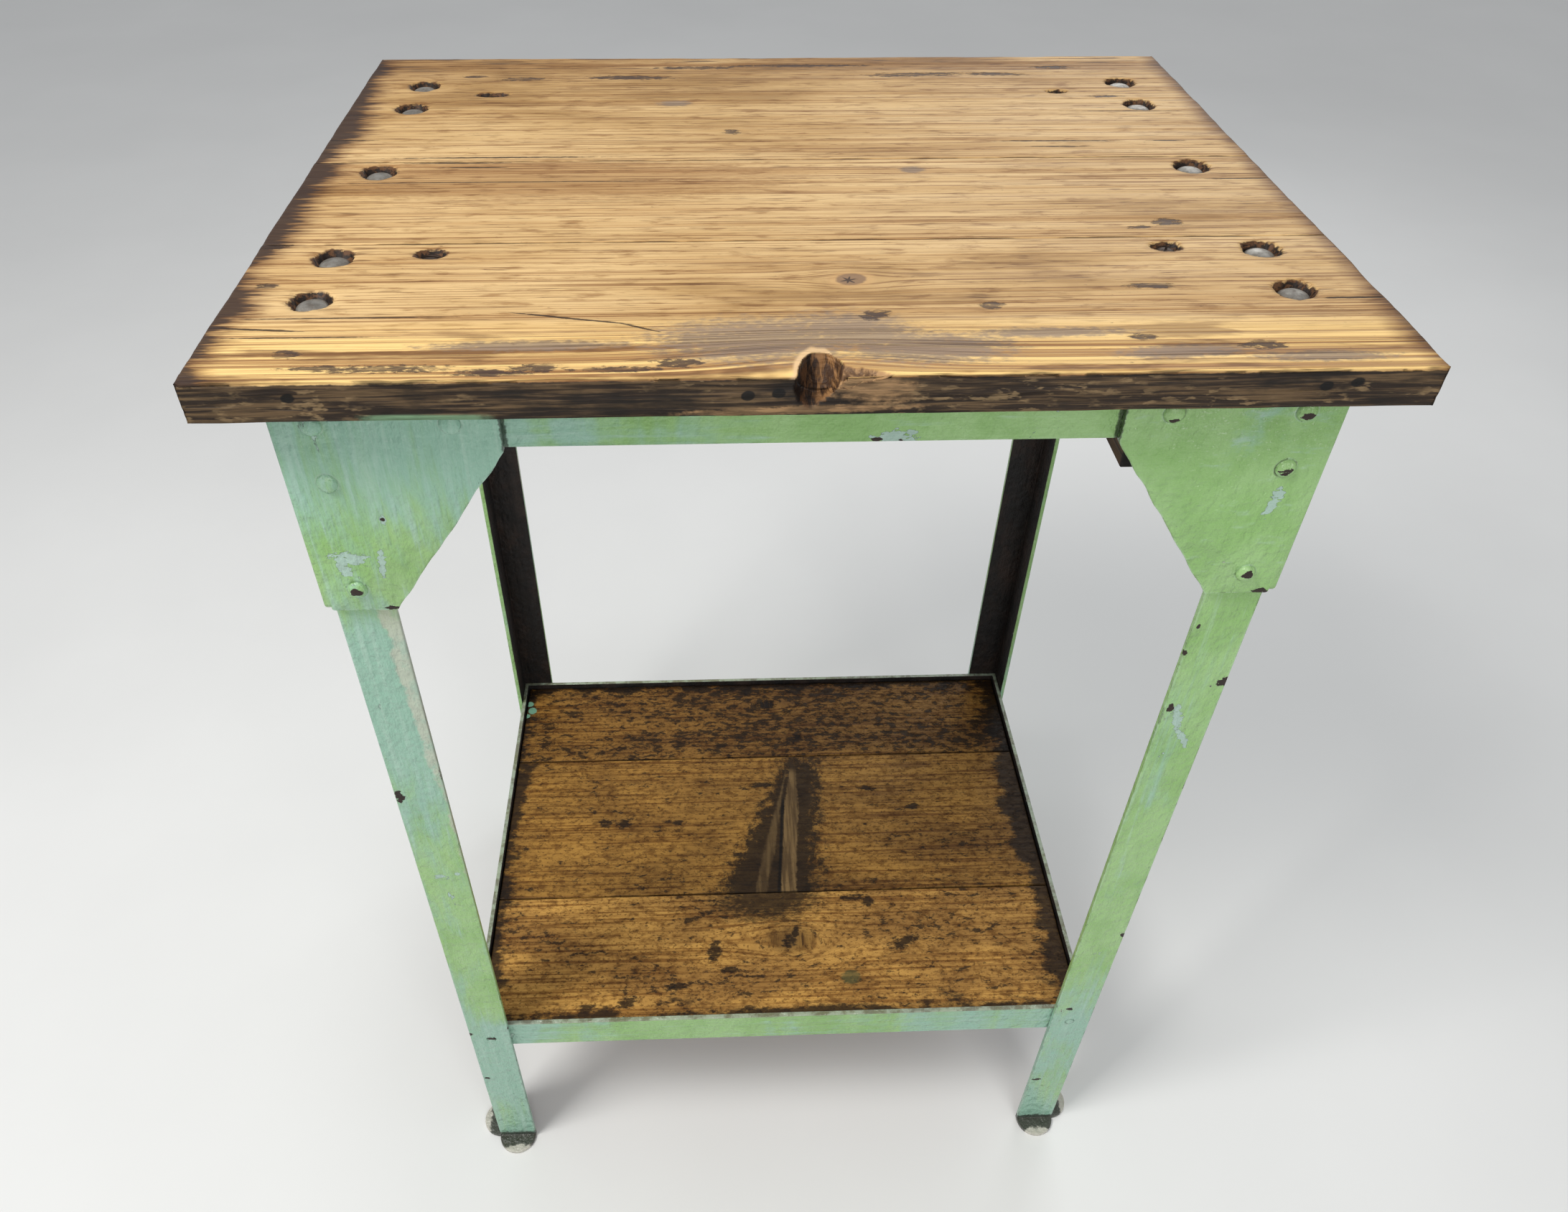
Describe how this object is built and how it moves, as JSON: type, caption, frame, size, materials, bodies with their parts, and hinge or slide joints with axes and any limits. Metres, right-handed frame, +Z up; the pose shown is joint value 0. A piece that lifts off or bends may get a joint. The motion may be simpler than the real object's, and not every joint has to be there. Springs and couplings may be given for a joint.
{
  "type": "potting bench",
  "caption": "Plank-top worktable on a green riveted angle-iron frame, with a lower plank shelf and rounded foot tabs.",
  "frame": {"origin": "on the floor, under the middle of the top", "axes": "+Z up, +X to the right seen from the front, and the front faces -Y"},
  "size_m": [0.62, 0.495, 0.88],
  "materials": {
    "top_wood": "worn honey-brown planks with dark dirty edges",
    "shelf_wood": "darker oiled planks with black dirt",
    "bearer_wood": "dark dry timber",
    "frame_paint": "thick brushed green gloss with mint patches and chips",
    "bolt_steel": "dark worn satin steel",
    "rusty_steel": "dark rusty steel"
  },
  "bodies": {
    "root": {"top_board_front": "top_wood", "top_board_middle": "top_wood", "top_board_back": "top_wood", "shelf_board_front": "shelf_wood", "shelf_board_middle": "shelf_wood", "shelf_board_back": "shelf_wood", "top_bearer_left": "bearer_wood", "top_bearer_right": "bearer_wood", "leg_front_left": "frame_paint", "leg_front_right": "frame_paint", "leg_back_left": "frame_paint", "leg_back_right": "frame_paint", "top_rail_front": "frame_paint", "top_rail_back": "frame_paint", "top_rail_left": "frame_paint", "top_rail_right": "frame_paint", "shelf_rail_front": "frame_paint", "shelf_rail_back": "frame_paint", "shelf_rail_left": "frame_paint", "shelf_rail_right": "frame_paint", "gusset_front_left": "frame_paint", "gusset_side_front_left": "frame_paint", "gusset_front_right": "frame_paint", "gusset_side_front_right": "frame_paint", "gusset_back_left": "frame_paint", "gusset_side_back_left": "frame_paint", "gusset_back_right": "frame_paint", "gusset_side_back_right": "frame_paint", "carriage_bolt_left_1": "bolt_steel", "nut_left_1": "rusty_steel", "carriage_bolt_left_2": "bolt_steel", "nut_left_2": "rusty_steel", "carriage_bolt_left_3": "bolt_steel", "nut_left_3": "rusty_steel", "carriage_bolt_left_4": "bolt_steel", "nut_left_4": "rusty_steel", "carriage_bolt_left_5": "bolt_steel", "nut_left_5": "rusty_steel", "carriage_bolt_right_1": "bolt_steel", "nut_right_1": "rusty_steel", "carriage_bolt_right_2": "bolt_steel", "nut_right_2": "rusty_steel", "carriage_bolt_right_3": "bolt_steel", "nut_right_3": "rusty_steel", "carriage_bolt_right_4": "bolt_steel", "nut_right_4": "rusty_steel", "carriage_bolt_right_5": "bolt_steel", "nut_right_5": "rusty_steel", "bearer_screw_front_left": "rusty_steel", "shelf_rivet_front_left_face": "frame_paint", "shelf_rivet_front_left_side": "frame_paint", "bearer_screw_front_right": "rusty_steel", "shelf_rivet_front_right_face": "frame_paint", "shelf_rivet_front_right_side": "frame_paint", "bearer_screw_back_left": "rusty_steel", "shelf_rivet_back_left_face": "frame_paint", "shelf_rivet_back_left_side": "frame_paint", "bearer_screw_back_right": "rusty_steel", "shelf_rivet_back_right_face": "frame_paint", "shelf_rivet_back_right_side": "frame_paint"}
  },
  "joints": []
}
